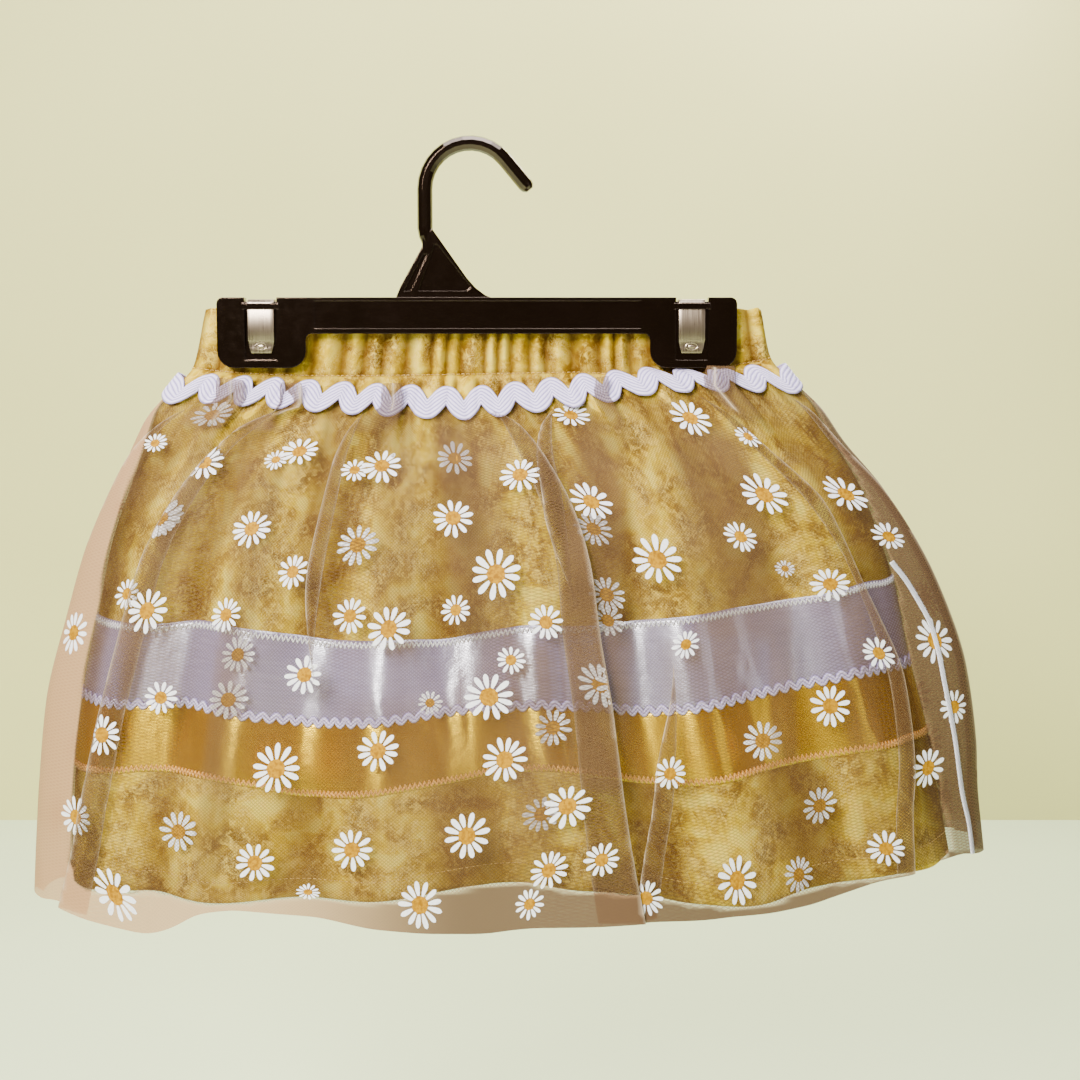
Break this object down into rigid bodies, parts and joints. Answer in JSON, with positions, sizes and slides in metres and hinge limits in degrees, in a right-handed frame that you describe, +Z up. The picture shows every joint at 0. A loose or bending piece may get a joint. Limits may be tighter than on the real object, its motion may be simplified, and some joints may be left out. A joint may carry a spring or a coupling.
{
  "type": "ribbon skirt on a clip hanger",
  "caption": "Child's gathered cotton ribbon skirt with satin ribbons, rickrack and a sheer printed net overskirt, clipped by its elastic waist to a plastic hanger.",
  "frame": {"origin": "inside top of the hanger's hook, where it rests on a rail, in the middle of the rod's depth", "axes": "+X to the wearer's left along the hanger's bar, +Y towards the skirt's back, +Z up; the front of the skirt faces -Y"},
  "size_m": [0.4665, 0.1698, 0.3726],
  "materials": {
    "cotton": "printed quilting cotton, matt",
    "white_satin": "woven satin ribbon, soft sheen",
    "yellow_satin": "woven satin ribbon, bright sheen",
    "rickrack": "braided zigzag trim, matt",
    "net": "printed nylon net, sheer",
    "hanger_plastic": "moulded polystyrene, gloss",
    "spring_steel": "formed steel strip, satin"
  },
  "bodies": {
    "root": {"waistband_front": "cotton", "cotton_front": "cotton", "white_ribbon_front": "white_satin", "yellow_ribbon_front": "yellow_satin", "small_rickrack_front": "rickrack", "wide_rickrack_front": "rickrack", "net_front": "net", "waistband_back": "cotton", "cotton_back": "cotton", "white_ribbon_back": "white_satin", "yellow_ribbon_back": "yellow_satin", "small_rickrack_back": "rickrack", "wide_rickrack_back": "rickrack", "net_back": "net", "hanger": "hanger_plastic", "clip_jaw_left": "hanger_plastic", "clip_spring_left": "spring_steel", "clip_jaw_right": "hanger_plastic", "clip_spring_right": "spring_steel"}
  },
  "joints": []
}
